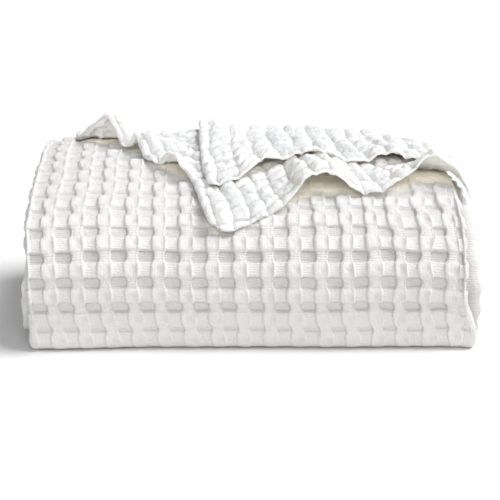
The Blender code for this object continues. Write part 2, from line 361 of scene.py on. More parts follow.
# %% Hem tables
HEM_COLUMNS = ("x", "reach", "lift")
LOWER_SIDE_HEM = (
    (-168, 0, 0),
    (-166, 35, 0),
    (-162, 58, 2),
    (-152, 69, 12),
    (-134, 79, 24),
    (-124, 90, 12),
    (-117, 99, 2),
    (-112, 103, 4),
    (-105, 107, 17),
    (-100, 115, 6),
    (-95, 126, 1),
    (-84, 137, 3),
    (-71, 147, 17),
    (-61, 158, 15),
    (-53, 168, 7),
    (-48, 184, 6),
    (-42, 209, 7),
    (-34, 235, 6),
)
LOWER_END_HEM = (
    (-34, 235, 6),
    (-17, 230, 3),
    (8, 218, 0),
    (23, 209, 1),
    (34, 202, 6),
    (46, 194, 19),
    (66, 186, 22),
    (91, 188, 7),
    (106, 188, 0),
    (135, 180, 12),
    (160, 168, 28),
    (178, 172, 18),
    (188, 177, 8),
    (198, 182, 2),
)
UPPER_SIDE_HEM = (
    (-45, 0, 2),
    (-45, 22, 5),
    (-45, 45, 6),
    (-45, 68, 6),
    (-45, 90, 5),
    (-44, 120, 3),
    (-42, 150, 2),
    (-39, 170, 1),
    (-37, 187, 0),
)
UPPER_END_HEM = (
    (-37, 187, 0),
    (-22, 180, 0),
    (-5, 169, 4),
    (14, 157, 11),
    (40, 148, 2),
    (66, 143, 1),
    (92, 144, 1),
    (104, 143, 1),
    (121, 137, 8),
    (150, 136, 4),
    (173, 140, 2),
    (186, 141, 2),
)
LOWER_RIGHT, UPPER_RIGHT = 198.0, 186.0  # the layers' right ends
LOWER_HEMS = (LOWER_SIDE_HEM, LOWER_END_HEM, LOWER_RIGHT)
UPPER_HEMS = (UPPER_SIDE_HEM, UPPER_END_HEM, UPPER_RIGHT)

# %% Curves through the hem tables


def soft_curve(at, xs, ys):
    """A smooth curve through the rows of a table that doesn't overshoot them."""
    run, rise = np.diff(xs), np.diff(ys)
    grade = rise / run
    slope = np.zeros(len(xs))
    same = grade[:-1] * grade[1:] > 0
    total = np.where(same, grade[:-1] + grade[1:], 1)
    slope[1:-1] = np.where(same, 2 * grade[:-1] * grade[1:] / total, 0)
    slope[0], slope[-1] = grade[0], grade[-1]
    at = np.clip(at, xs[0], xs[-1])
    i = np.clip(np.searchsorted(xs, at) - 1, 0, len(run) - 1)
    t = (at - xs[i]) / run[i]
    level = ys[i] * (1 + 2 * t) * (1 - t) ** 2 + ys[i + 1] * t * t * (3 - 2 * t)
    return level + run[i] * (slope[i] * t * (1 - t) ** 2 - slope[i + 1] * t * t * (1 - t))


def column(hem, key, value, at):
    """Reads one named column of a hem table where another column has the value at."""
    key, value = HEM_COLUMNS.index(key), HEM_COLUMNS.index(value)
    rows = np.array(sorted(hem, key=lambda row: row[key]), float)
    return soft_curve(at, rows[:, key], rows[:, value])


# %% Points of the loose layers
LIFT_FADE = 58.0  # a hem's wave has died out this far behind it
MIDDLE_FADE, MIDDLE_ARCH = 84.0, (60.0, 35.0)  # behind the lower layer's middle arch, at this x
RIGHT_FADE, RIGHT_ARCH = 36.0, (115.0, 30.0)  # and behind its right one
SIDE_PRESS = 30.0  # the upper layer presses the side hem's wave flat over this length
ROUNDED = 15.0  # how far from its point a corner starts to round off
CORNER_IN, CORNER_BACK = 0.25, 0.45  # how far its point moves, in shares of that
CREST_LEAN = 0.15  # a crest moves right by this much for each mm behind the hem
SIDE_SHADE, END_SHADE = 8.0, 10.0  # how softly the part of the outer ply under the lower layer ends, for its flatter weave and its painted cream light


def fade(distance, length=LIFT_FADE):
    """1 at a hem, easing to 0 where the wave has died out."""
    return ease(1 - distance / length)


def under_lower_layer(x, reach):
    """1 where the outer ply lies under the lower loose layer, easing to 0 at its hems."""
    corner_x, corner_reach = LOWER_END_HEM[0][:2]
    side = column(LOWER_SIDE_HEM, "reach", "x", reach)
    end = np.where(x < corner_x, corner_reach, column(LOWER_END_HEM, "x", "reach", x))
    return past(x, side, SIDE_SHADE) * before(reach, end, END_SHADE)


def loose_point(side_hem, end_hem, right, share, forward):
    """x, reach, lift and the distances from the two hems of a loose layer's points."""
    corner_x, corner_reach = end_hem[0][:2]
    end_x = between(corner_x, right, share)
    hem_reach = column(end_hem, "x", "reach", end_x)
    left = column(side_hem, "reach", "x", forward * corner_reach)
    x = between(left, right, share)
    reach = hem_reach * forward
    behind = hem_reach - reach
    far = LIFT_FADE
    if end_hem is LOWER_END_HEM:
        far = between(far, MIDDLE_FADE, hump(end_x, *MIDDLE_ARCH))
        far = between(far, RIGHT_FADE, past(end_x, *RIGHT_ARCH))
    end_lift = column(end_hem, "x", "lift", end_x - CREST_LEAN * behind) * fade(behind, far)
    side_lift = column(side_hem, "reach", "lift", forward * corner_reach) * fade(x - left)
    if side_hem is LOWER_SIDE_HEM:
        side_lift = side_lift * before(x, UPPER_SIDE_HEM[0][0], SIDE_PRESS)
    corner = (np.clip(1 - (x - left) / ROUNDED, 0, 1) * np.clip(1 - behind / ROUNDED, 0, 1)) ** 2
    rounded_x = x + CORNER_IN * ROUNDED * corner
    rounded_reach = reach - CORNER_BACK * ROUNDED * corner
    return rounded_x, rounded_reach, end_lift + side_lift, x - left, behind


# %% [markdown]
# ## From points to cloth
# Every sheet is a net of points in rows, so one function turns rows into a mesh. It also stores
# where each point lies on the flat cloth and what the weave does there, because the material
# draws its threads from that.

# %% Sheets from rows of points
made = {}


def weave_net(name, points, across, along, warp, tone, painted_cream_light=0.0, loop=False):
    """A mesh from points in rows. across and along are mm on the flat cloth."""
    rows, columns = points.shape[:2]
    number = np.arange(rows * columns).reshape(rows, columns)
    if loop:
        number = np.concatenate([number, number[:, :1]], axis=1)
    quads = np.stack([number[:-1, :-1], number[:-1, 1:], number[1:, 1:], number[1:, :-1]], axis=-1)
    mesh = bpy.data.meshes.new(name)
    mesh.from_pydata(points.reshape(-1, 3).tolist(), [], quads.reshape(-1, 4).tolist())
    flat = mesh.attributes.new("flat_cloth", "FLOAT_VECTOR", "POINT")
    values = np.stack([across, along, warp], axis=-1).astype(np.float32)
    flat.data.foreach_set("vector", values.ravel())
    # the tone holds painted shade, and the next attribute painted cream light
    for key, value in (("tone", tone), ("painted_cream_light", painted_cream_light)):
        value = np.broadcast_to(value, points.shape[:2]).astype(np.float32)
        mesh.attributes.new(key, "FLOAT", "POINT").data.foreach_set("value", value.ravel())
    mesh.shade_smooth()
    piece = bpy.data.objects.new(name, mesh)
    bpy.context.scene.collection.objects.link(piece)
    made[name] = piece
    print(name, "quads:", len(mesh.polygons))
    return piece


# %% [markdown]
# ## The front ply
# The part that shows most is the outer ply: it starts under the bundle, bulges round the front and
# runs back over the top. The cloth lies double there, so its two ends are soft rolled folds. The
# net's columns follow the ribs and its rows follow the bars, which keeps their edges crisp, and
# the ribs' wandering moves the points and not the pattern. The last ribs crowd together round the
# right end, and the ply's lowest part is pressed flat by the weight and bulges a little forward.
# Where a bar or rib dives into a pocket the real gap between the threads is deeper than a net this
# size can show, so its shade is painted into the tone along that line. The pockets also get painted
# shade on the round of the front, the rows toward the top get painted light, and the part under
# the lower loose layer gets painted cream light. Places along the ply are mm from the start of the
# outline under the bundle, so the floor is near 200 and the shoulder near 350.

# %% The front ply's weave
OUTER_LEFT, OUTER_RIGHT = -188.0, 178.0
REPEAT_ACROSS, REPEAT_ALONG = 23.0, 22.3
RIB_X = 14.2  # the middle of one rib
TUFT_ALONG = 193.05  # the middle of one row of tufts
LOW_ROWS = (243.0, 12.0)  # below here the weight flattens the weave
BOTTOM_ROWS, TOP_ROWS = (285.0, 40.0), (300.0, 80.0)  # the rows turned to the floor and to the sky, which get painted shade and painted light
CREVICE_PAINTED_SHADE, CREVICE, EDGE_CREVICE = 0.55, 0.026, 0.025  # how dark the painted shade in a crevice is and, in repeats, how wide
LOW_CREVICE, TOP_PAINTED_LIGHT = 0.7, 0.4  # the painted shade is darker near the floor, and painted light goes toward the top
BAR_LINE, LOW_LINE = 0.7, 1.2  # near the floor the painted shade of a bar's lower line fades and that of its upper one shows
UPRIGHT_LINE, BESIDE_TUFT, WAIST_AT = 0.6, 0.35, (0.2, 0.1)  # a rib's line of painted shade is weaker beside a tuft
BAR_START, LINE_OFF = 0.05, 0.015
HOLLOW_PAINTED_SHADE, HOLLOW_ROWS = 0.32, (298.0, 20.0)  # painted shade: the pockets are made darkest on the round of the front
HOLLOW_LEVELS = (0.35, 0.2)
WANDER = ((1.3, 31), (0.8, 13)), ((1.1, 27), (0.6, 11))  # mm, in lumps of mm, across and along
WANDER_LEAST, WANDER_MORE, LOOSE_END = 0.8, 1.6, (60.0, 100.0)


def wander(x, along, seed):
    """How far the ribs and the bars wander, more toward the right end."""
    loose = WANDER_LEAST + WANDER_MORE * past(x, *LOOSE_END)
    sideways = drift(0, x, along, WANDER[0], seed)
    lengthwise = drift(0, x, along, WANDER[1], seed + 2)
    return sideways * loose, lengthwise * loose


def crevices(a, b, bar_half, low):
    """1 in the painted-shade line where a bar's edge or a rib's left edge dives into a pocket."""
    fa, fb = a - np.round(a), b - np.round(b)
    beside = past(np.abs(fa), RIB_HALF, BAR_START)
    line = (1 - BAR_LINE * low) * hump(fb, -bar_half, CREVICE)
    line = line + LOW_LINE * low * hump(fb, bar_half, CREVICE)
    upright = UPRIGHT_LINE * hump(fa, -RIB_HALF - LINE_OFF, EDGE_CREVICE)
    upright = upright * (BESIDE_TUFT + (1 - BESIDE_TUFT) * past(np.abs(fb), *WAIST_AT))
    return np.clip(line * beside + upright, 0, 1)


def front_tone(a, b, along, height, tone, bar_half):
    """The tone of the front ply's weave: painted shade in crevices and hollows, painted light on
    top.
    """
    low, bottom, top = before(along, *LOW_ROWS), before(along, *BOTTOM_ROWS), past(along, *TOP_ROWS)
    deepest = CREVICE_PAINTED_SHADE * (1 - TOP_PAINTED_LIGHT * top + LOW_CREVICE * low)
    tone = tone - deepest * crevices(a, b, bar_half, bottom)
    tone = tone + TOP_PAINTED_LIGHT * top * (1 - tone)
    return tone - HOLLOW_PAINTED_SHADE * before(height, *HOLLOW_LEVELS) * hump(along, *HOLLOW_ROWS)


# %% Lines of the front ply's net
RIB_STOPS = (
    *(-0.5, -0.4, -0.31, -0.272, -0.243, -0.21, -0.14, -0.06),
    *(0.03, 0.11, 0.17, 0.21, 0.243, 0.272, 0.31, 0.4),
)
BAR_STOPS = (
    *(-0.5, -0.42, -0.35, -0.302, -0.268, -0.2, -0.12),
    *(-0.04, 0.04, 0.12, 0.2, 0.268, 0.302, 0.35, 0.42),
)


def stops(first, last, offsets):
    """Places along a repeating pattern, close together where the relief is steep."""
    cells = np.arange(math.floor(first), math.ceil(last) + 1)
    marks = (cells[:, None] + np.array(offsets)).ravel()
    return marks[(marks >= first) & (marks <= last)]


# %% Relief of the front ply
DEEP = 5.5  # from the bottom of a pocket to the top of a tuft
PROUD = 1.6  # how far a tuft stands out of the solid
LOW_FLAT, LOW_BARS = 0.6, 0.16  # the lowest rows are this much flatter, with taller bars
PRESSED_ROWS, PRESSED = (220.0, 24.0), -0.6  # on the floor the weave is pressed to this level
HIDDEN_FLAT = 0.7  # the loose layer on the ply presses its weave this much flatter
BUMPS, BUMP_SIZE = 0.35, 6  # uneven threads, mm high and wide
SWELLS, SWELL_SIZE = 1.0, 70
WRINKLE, WRINKLE_SIZE, WRINKLE_STRETCH = 0.5, 2.6, 0.35  # fine wrinkles across the bars


def front_relief(x, along, height, warp, low):
    """How far the front ply's face stands out of the solid, in mm."""
    relief = (height - 1) * DEEP * (1 - LOW_FLAT * low) + PROUD
    relief += BUMPS * lumps(x, along, BUMP_SIZE, 31) * height
    relief += SWELLS * lumps(x, along, SWELL_SIZE, 32)
    wrinkles = lumps(x * WRINKLE_STRETCH, along, WRINKLE_SIZE, 33)
    relief += WRINKLE * wrinkles * (1 - warp) * height
    relief *= 1 - HIDDEN_FLAT * under_lower_layer(x, REACH_ZERO - along)
    pressed = before(along, *PRESSED_ROWS)
    return relief * (1 - pressed) + PRESSED * pressed


# %% Rolled ends
ROLL_FADE = (1.4, 1.2)  # the relief fades on the way round


def rolled_end(x, height, left, right, radius):
    """Rolls the cloth round its two ends. Returns x and the height off the solid's mid-line."""
    over = np.maximum(0, left - x) + np.maximum(0, x - right)
    side = np.where(x < (left + right) / 2, -1, 1)
    angle = np.clip(over / radius, 0, math.pi)
    tail = np.maximum(0, over - math.pi * radius)
    height = height * ease(ROLL_FADE[0] - angle / math.pi * ROLL_FADE[1])
    x = np.clip(x, left, right) + side * ((radius + height) * np.sin(angle) - tail)
    return x, (radius + height) * np.cos(angle) + PLY / 2 - radius


# %% The front ply
UNDER_START = 150.0  # the ply starts here, under the bundle
INTO_TURN = 8.0  # and ends this far down the back
ROLL_RADIUS = 4.2
ROLL_TAIL = 7.0  # the cloth that shows inside a rolled end
CROWD, CROWDED = 5.0, 0.45  # the last ribs crowd together round the right end
LEAN, LEAN_BACK, LEAN_ROWS = 3.5, 5.0, (205.0, 60.0)  # the ribs lean left on their way up
LEAN_MORE, LEAN_MORE_X = 0.045, 66.0  # and more so toward the right end
LOW_RIGHT, LOW_RIGHT_ROWS = 13.0, (262.0, 45.0)  # the ply reaches further right near the floor
SMOOTH_END, SMOOTH_LEVEL = (12.0, 10.0), 0.5  # its right end is smooth near the floor
SMOOTH_ROWS = (275.0, 30.0)
HUNG_SMOOTH, HUNG_ROWS = 0.75, (335.0, 25.0)  # and where the lower loose layer hangs over it
LOW_FORWARD, FORWARD_HEIGHT, FORWARD_ROWS = 6.0, 32.0, (160.0, 35.0)  # its foot bulges forward
LOW_FORWARD_LEFT, FORWARD_LEFT_END = 5.0, (-90.0, 80.0)  # and more so at the left end
JUST_ABOVE_FLOOR = 0.3
COVERED_REACH, HIDDEN_BEFORE = 60.0, 190.0  # the ply is hidden behind this reach, and under here
HIDDEN_KEPT = 3  # there every third row of the net is enough


def front_ply():
    """The outer ply, from under the bundle round the front to the back edge."""
    reach = math.pi * ROLL_RADIUS + ROLL_TAIL
    columns = np.array([OUTER_LEFT - reach, OUTER_RIGHT + (reach + CROWD + LOW_RIGHT) / CROWDED])
    columns = stops(*((columns - RIB_X) / REPEAT_ACROSS), RIB_STOPS)
    ends = np.array([UNDER_START, REACH_ZERO + INTO_TURN])
    rows = stops(*((ends - TUFT_ALONG) / REPEAT_ALONG), BAR_STOPS)
    place = rows * REPEAT_ALONG + TUFT_ALONG
    shows = (place > HIDDEN_BEFORE) & (place < REACH_ZERO - COVERED_REACH)
    rows = rows[shows | (np.arange(len(rows)) % HIDDEN_KEPT == 0)]
    a, b = np.meshgrid(columns, rows)
    x, along = a * REPEAT_ACROSS + RIB_X, b * REPEAT_ALONG + TUFT_ALONG
    flat = x, along
    low = before(along, *LOW_ROWS)
    bar_half = BAR_HALF + LOW_BARS * low
    height, tone, shift, warp = waffle(a, b, seed=11, bar_half=bar_half)
    tone = front_tone(a, b, along, height, tone, bar_half)
    relief = front_relief(x, along, height, warp, low)
    sideways, lengthwise = wander(x, along, seed=21)
    lean_back = LEAN_BACK + LEAN_MORE * np.maximum(0, x - LEAN_MORE_X)
    lean = LEAN - lean_back * past(along, *LEAN_ROWS)
    x = x + shift * REPEAT_ACROSS + sideways + lean
    right = OUTER_RIGHT + LOW_RIGHT * before(along, *LOW_RIGHT_ROWS)
    smoothed = before(along, *SMOOTH_ROWS) + HUNG_SMOOTH * past(along, *HUNG_ROWS)
    smoothed = smoothed * past(x, right - SMOOTH_END[0], SMOOTH_END[1])
    relief = relief * (1 - smoothed) + SMOOTH_LEVEL * smoothed
    crowd = right - CROWD
    x = np.where(x > crowd, crowd + (x - crowd) * CROWDED, x)
    x, out = rolled_end(x, relief, OUTER_LEFT, right, ROLL_RADIUS)
    y, z = on_outline(along + lengthwise, out)
    forward = LOW_FORWARD + LOW_FORWARD_LEFT * before(x, *FORWARD_LEFT_END)
    y = y - forward * past(along, *FORWARD_ROWS) * before(z, FORWARD_HEIGHT, FORWARD_HEIGHT)
    points = placed(x, y, np.maximum(z, JUST_ABOVE_FLOOR))
    # painted cream light on the ply under the lower loose layer
    painted_cream_light = under_lower_layer(x, REACH_ZERO - along)
    return weave_net("front_ply", points, *flat, warp, tone, painted_cream_light)


front_ply()

# %% [markdown]
# ## The inner plies
# Behind the front ply the cloth goes back and forth. Only the plies' ends show, as a stack of soft
# folds, so one long tube of cloth follows the whole path, with a close net at its two ends and a
# wide one between. The path is the outline moved inward by one pitch for each ply. The stack
# rounds off toward both ends, and the bars of the weave make the folds a little wavy there.

# %% The path of the inner plies
JOIN_POINTS = 8  # it starts this many points before the outer ply's end, to join on
LOOP_SLACK = 0.2  # a point of a moved line that is nearer the outline than it should be is dropped
CORE_ROUNDS = 10
SHELL_PAST = 1.5 * PITCH  # the plies are moved inward with some line to spare behind their turns


def smooth(line, rounds=6):
    """Softens the corners of an open line and keeps its ends."""
    line = line.copy()
    for _ in range(rounds):
        line[1:-1] = (line[:-2] + 2 * line[1:-1] + line[2:]) / 4
    return line


def even(line, step=1.0):
    """The open line with its points step apart."""
    along = lengths(line)
    marks = np.linspace(0, along[-1], round(along[-1] / step) + 1)
    return np.stack([np.interp(marks, along, line[:, i]) for i in (0, 1)], axis=1)


def nested_ply(number):
    """A ply's mid-line, number pitches inside the outer one, from bottom back to top back."""
    behind = TURN_Y + SHELL_PAST
    top = LINE[: TOP_START + 1]
    shell = even(np.concatenate([[(behind, PLY / 2)], top, [(behind, top[-1, 1])]]))
    depth = (number + 0.5) * PITCH
    moved = shell - outward(shell) * depth
    apart = np.linalg.norm(moved[:, None] - shell[None], axis=2).min(axis=1)
    core = smooth(even(moved[apart > depth - LOOP_SLACK]), CORE_ROUNDS)
    ply = core + outward(core) * PITCH / 2
    return ply[ply[:, 0] < TURN_Y]


def inner_path():
    """The mid-line of all the inner plies, with the turns between them at the back."""
    path = [LINE[TOP_START - JOIN_POINTS : TOP_START + 1]]
    for number in range(1, PLIES):
        ply = nested_ply(number)
        if number % 2:
            ply = ply[::-1]
        side = 90 if number % 2 else -90
        start = path[-1][-1]
        bend = arc((start + ply[0]) / 2, np.linalg.norm(ply[0] - start) / 2, side, -side)
        path += [np.array(bend[:-1]), ply]
    return path


# %% The inner plies
INNER_LEFT, INNER_RIGHT = -193.0, 190.0
END_NET = 2.3  # mm between the columns near the ends
END_WIDTH = 34.0
MIDDLE_COLUMNS = 8
SOFT_EDGE = 0.12  # the weave is softer here than on the front ply
INNER_DEEP, FIRST_DEEP = 1.7, 2.4  # the first ply's right end shows beside the front ply
ROLL_STEPS = 6
LOW_SPREAD = (7.5, 6.5)  # the stack is squeezed out at its foot, left and right
LOW_HEIGHT, FLOOR_FADE = (90.0, 60.0), (1.0, 6.0)  # heights where that fades, up and to the floor
END_TONE = 0.3  # how much less painted shade the weave gets where it is stretched round an end
END_RIPPLE, RIPPLE_UNEVEN = 0.7, 0.8  # the bars of the weave make the ends a little wavy
ROUND_OFF = 16.0  # how far from its ends the stack of folds starts to round off
ROUND_DEPTH, FIRST_DEPTH = 6.0, 1.0  # by how much, and for the ply behind the front one
SLUMPS, SLUMP_LEFT, SLUMP_RIGHT = ((2.2, 47, 42), (1.5, 19, 43)), 2.0, 0.3  # mm, mm wide, seed
SPREAD_FROM, TONE_FROM = (150.0, 40.0), (165.0, 12.0)  # how far from the middle the ends begin
MIDDLE_LEVEL = 0.6  # the level of the weave that lies on the solid's face
GROOVE, GROOVE_X, GROOVE_WIDTH = 0.8, 4.0, 4.0  # painted shade in the gap beside the front ply's right end
QUARTER = 0.98  # how much of a full quarter turn the rounded ends make
TURN_POINTS, PLY_STEP = 40, 4  # a stretch with more points than a turn is a ply and needs fewer
TO_FIRST_PLY = 3  # the path starts with the join, a turn and the ply behind the front one


def inner_plies():
    """The tube of cloth that follows the path of all the inner plies."""
    pieces, facing = [], []
    for number, points in enumerate(inner_path()):
        points = points[::PLY_STEP] if len(points) > TURN_POINTS else points
        pieces.append(points)
        start = (-1) ** (number // 2)  # 1 where the line's normal points out of the bundle
        is_turn = number % 2
        facing.append(np.linspace(start, -start if is_turn else start, len(points)))
    line = np.concatenate(pieces)
    facing = np.concatenate(facing)[:, None]
    first = np.arange(len(line))[:, None] < sum(len(points) for points in pieces[:TO_FIRST_PLY])
    along = lengths(line)
    normal = outward(line)
    near = np.arange(0, END_WIDTH, END_NET)
    middle = np.linspace(INNER_LEFT + END_WIDTH, INNER_RIGHT - END_WIDTH, MIDDLE_COLUMNS)
    face = np.concatenate([INNER_LEFT + near, middle, INNER_RIGHT - near[::-1]])
    bend = np.linspace(0, math.pi, ROLL_STEPS)[1:-1]
    right_end, left_end = (np.full(len(bend), end) for end in (INNER_RIGHT, INNER_LEFT))
    x = np.concatenate([face, right_end, face[::-1], left_end])
    angle = np.concatenate([np.zeros(len(face)), bend, np.full(len(face), math.pi), bend[::-1]])
    side = np.where(x > 0, 1, -1)
    x, s = np.meshgrid(x, along)
    a, b = (x - RIB_X) / REPEAT_ACROSS, s / REPEAT_ALONG
    height, tone, _, warp = waffle(a, b, seed=41, edge=SOFT_EDGE)
    slump = sum(far * lumps(s, x * 0, wide, seed) for far, wide, seed in SLUMPS)
    beside_front = first & (x > 0)
    radius = PLY / 2 + (height - MIDDLE_LEVEL) * np.where(beside_front, FIRST_DEEP, INNER_DEEP)
    low = before(line[:, 1:], *LOW_HEIGHT) * past(line[:, 1:], *FLOOR_FADE)
    left_spread = LOW_SPREAD[0] * low + slump - SLUMP_LEFT
    spread = np.where(side > 0, LOW_SPREAD[1] * low + SLUMP_RIGHT * slump, left_spread)
    uneven = 1 + RIPPLE_UNEVEN * lumps(s, x * 0, 31, 44)
    spread += END_RIPPLE * uneven * np.cos(2 * math.pi * s / REPEAT_ALONG)
    out_x = x + side * (radius * np.sin(angle) + spread * past(np.abs(x), *SPREAD_FROM))
    round_off = np.clip((np.abs(x) - INNER_RIGHT + ROUND_OFF) / ROUND_OFF, 0, 1)
    depth = np.where(beside_front, FIRST_DEPTH, ROUND_DEPTH)
    inward = depth * (1 - np.sqrt(1 - QUARTER * round_off**2))
    out = radius * np.cos(angle) - facing * inward
    # painted shade: less toward the ends, more in the gap beside the front ply's right end
    tone = ease(tone + END_TONE * past(np.abs(x), *TONE_FROM))
    tone -= GROOVE * first * hump(x, OUTER_RIGHT + GROOVE_X, GROOVE_WIDTH)
    y = line[:, :1] + normal[:, :1] * out
    z = line[:, 1:] + normal[:, 1:] * out
    return weave_net("inner_plies", placed(out_x, y, z), x, s, warp, tone, loop=True)


inner_plies()

# %% [markdown]
# ## Weave on the loose layers
# Off the bundle the cloth is free to shrink, so its cells are smaller and plumper, like little
# pillows, and they pucker more. Both faces show, so the middle of the cloth is shaped and
# Solidify gives it its thickness. A plain woven rim runs along each hem.

# %% The loose cloth
LOWER_CELL = (11.5, 12.0)  # a pillow's size across and along, mm
UPPER_CELL = (19.0, 14.5)
LOOSE_DEEP = 6.4  # from the bottom of a crevice to the top of a pillow
RIM, RIM_SHARE = 4.0, 0.4  # the rim's width, and how much of the relief it keeps
DRIFTS = ((2.6, 27), (1.5, 11)), ((2.6, 25), (1.5, 10))  # mm, in lumps of mm, across and along
PLUMP_UNEVEN = 0.3
PILLOW_ROUND, PILLOW_WAIST = (0.6, 0.9), 0.05  # the lower the power, the steeper its sides
DENT, DENT_OFF, DENT_SIZE = 0.22, (0.1, 0.05), (0.14, 0.2)  # its dented top, in shares of a cell
PILLOW_MIDDLE, PILLOW_FULL = 0.45, 0.5  # the levels of the cloth's middle and of its lightest tone; below it shade is painted in
PUCKER, CREASE = (1.1, 6), (1.4, 4.5)  # mm high and wide
HEM_EDGE = -0.5  # the rim starts just outside the hem


def pillowy(u, v, from_edge, cell, seed):
    """Relief of the loose cloth: heights about 0, the warp share and the painted-shade tone from 0
    to 1.
    """
    u = drift(u, u, v, DRIFTS[0], seed + 5)
    v = drift(v, u, v, DRIFTS[1], seed + 7)
    a, b = u / cell[0], v / cell[1]
    i, j = np.round(a), np.round(b)
    fa, fb = np.abs(a - i), np.abs(b - j)
    across = (1 - np.clip(2 * fa, 0, 1) ** 2) ** PILLOW_ROUND[0]
    lengthwise = (1 - np.clip(2 * fb, 0, 1) ** 2) ** PILLOW_ROUND[1]
    plump = 1 + PLUMP_UNEVEN * of_cell(i, j, seed)
    pillow = plump * across * (PILLOW_WAIST + (1 - PILLOW_WAIST) * lengthwise)
    off_middle = DENT_OFF[0] * of_cell(i, j, seed + 1)
    dented = hump(a - i, off_middle, DENT_SIZE[0]) * hump(b - j, DENT_OFF[1], DENT_SIZE[1])
    height = pillow - DENT * dented * (1 + of_cell(i, j, seed + 2))
    inside = past(from_edge, HEM_EDGE, RIM)
    relief = (height * (RIM_SHARE + (1 - RIM_SHARE) * inside) - PILLOW_MIDDLE) * LOOSE_DEEP
    relief += PUCKER[0] * lumps(u, v, PUCKER[1], seed + 9)
    relief -= CREASE[0] * np.abs(lumps(u, v, CREASE[1], seed + 10))
    return relief, across * lengthwise, ease(height / PILLOW_FULL)


# %% Thickness of the loose cloth
CLOTH = 1.5  # thickness of the single cloth


def loose_sheet(name, thickest, stretches):
    """One piece with a thickness, from stretches of the same cloth.

    Each stretch gives x, y and z, the place across and along the flat cloth, the warp's share, the
    tone of painted shade, its painted cream light and how far it is laid double.
    """
    full = [[np.broadcast_to(part, stretch[0].shape) for part in stretch] for stretch in stretches]
    x, y, z, *weave, double = (np.concatenate(rows) for rows in zip(*full))
    piece = weave_net(name, placed(x, y, z), *weave)
    group = piece.vertex_groups.new(name="laid_double")
    double = np.round(np.clip(double, 0, 1), 2).ravel()
    for share in np.unique(double):
        group.add(np.flatnonzero(double == share).tolist(), float(share), "REPLACE")
    solid = piece.modifiers.new("cloth_thickness", "SOLIDIFY")
    solid.thickness = thickest * MM
    solid.offset = 0
    solid.vertex_group = group.name
    solid.thickness_vertex_group = CLOTH / thickest
    return piece


# %% [markdown]
# ## The lower loose layer
# One end of the blanket comes up behind the plies, turns over the back edge and lies on the top.
# Its side hem runs off to the left in three small arches, and its corner hangs over the front.
# Where the upper layer's hem shades it, cream light is painted on it.

# %% The lower layer's way up and over
LOWER_NET, LOWER_COLUMNS = 1.65, 215  # mm between the rows on the top
RISER_NET = 4.0
TUCKED_IN = 30  # how many points of the last ply's line it follows
HANG_START, HANG_BEND = 180.0, 14.0  # where it bends down over the right shoulder, and the radius
SIDE_SLANT = 0.8  # its side hem runs back and to the left, so ribs beside it are closer in x
RUFFLE, RUFFLE_SIZE, RUFFLE_FADE = 1.6, 16, 22.0  # the hem's small waves
FOOT_DROP, FOOT_CALM = 2.2, 0.5  # behind its left arch it settles, and its relief is calmer
FOOT_FROM_SIDE, FOOT_REACH = (60.0, 26.0), (65.0, 32.0)
UPPER_ON_IT, UPPER_END_ON_IT = 12.0, (10.0, 20.0)  # how softly the upper layer begins to lie on it
PRESSED_CALM, HANG_CALM, HANG_NEAR = 0.75, 0.8, (8.0, 14.0)  # how much of the relief goes there
# how softly the painted cream light under the upper layer's hem fades, and how far past it it goes
SHADE_SOFT, SHADE_PAST_HEM = 8.0, 3.0
BACK_RELIEF = 0.45  # the cloth lies double up the back, which evens out its relief
BACK_THINNER = 1.2
DROP_POWER = 4  # the shoulder's drop fades fast on the way down the back
FAR_FROM_HEM = 30.0


def riser_path():
    """The layer's line in section, from inside the last ply to the start of the top."""
    last = nested_ply(PLIES - 1)[-TUCKED_IN:]
    depth = PLY + BACK_GAP
    radius = LINE[:, 0].max() - depth - last[-1, 0]
    bend = np.array(arc((last[-1, 0], last[-1, 1] + radius), radius, -90, 0))
    up = np.arange(ALONG[-1], REACH_ZERO, -LINE_STEP)
    y, z = on_outline(up, ease((up - REACH_ZERO) / BACK_CORNER, LOWER_RISE, -depth))
    keep = (z > last[-1, 1] + radius + LINE_STEP) & (y > TURN_Y - PITCH)
    return even(np.concatenate([last, bend, np.stack([y, z], axis=1)[keep]]), RISER_NET)


def over_the_end(x):
    """Lets the right end hang over the shoulder. Returns x and how far it drops."""
    over = np.maximum(0, x - HANG_START)
    angle = np.minimum(over / HANG_BEND, math.pi / 2)
    drop = HANG_BEND * (1 - np.cos(angle)) + over - angle * HANG_BEND
    return np.minimum(x, HANG_START) + HANG_BEND * np.sin(angle), drop


def arch_foot(from_side, reach):
    """1 behind the left arch, where the layer settles on the outer ply."""
    return hump(from_side, *FOOT_FROM_SIDE) * hump(reach, *FOOT_REACH)


